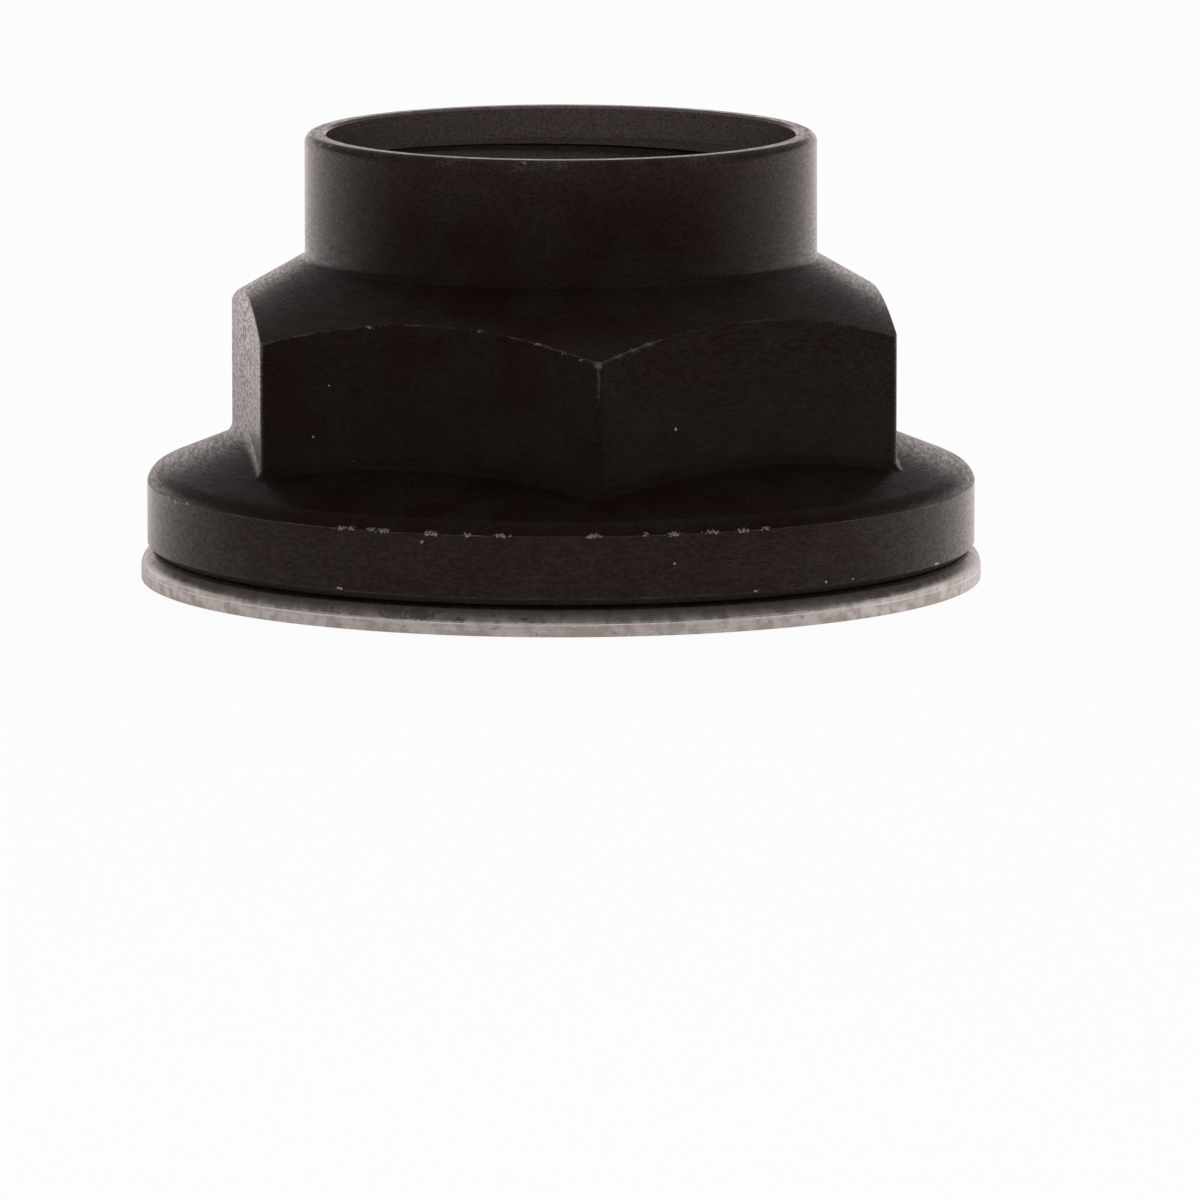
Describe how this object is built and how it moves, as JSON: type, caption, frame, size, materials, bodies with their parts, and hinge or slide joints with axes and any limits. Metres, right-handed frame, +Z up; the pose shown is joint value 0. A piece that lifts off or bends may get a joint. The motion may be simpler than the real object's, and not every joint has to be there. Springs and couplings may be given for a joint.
{
  "type": "flanged spindle nut with captive washer",
  "caption": "Hexagon spindle nut with a conical flange, a thin stake collar and a captive washer that turns freely under the flange; it clamps a wheel hub or bearing on a threaded spindle.",
  "frame": {"origin": "middle of the washer's bearing face, on the thread's axis", "axes": "+Z up the thread's axis from the washer to the stake collar; two of the hexagon's corners lie on the Y axis and two flats face +X and -X"},
  "size_m": [0.0399, 0.0398, 0.0212],
  "materials": {
    "black_steel": "matte black oxide on forged and turned steel, worn to bare metal in nicks along its edges",
    "bare_steel": "bare stamped steel, mottled grey with dark stains, faint brown tints and fine scratches"
  },
  "bodies": {
    "nut": {"nut_body": "black_steel"},
    "washer": {"captive_washer": "bare_steel"}
  },
  "joints": [
    {"name": "washer_spin", "type": "hinge", "parent": "nut", "child": "washer", "pos_m": [0, 0, 0.001], "axis": [0, 0, 1], "continuous": true}
  ]
}
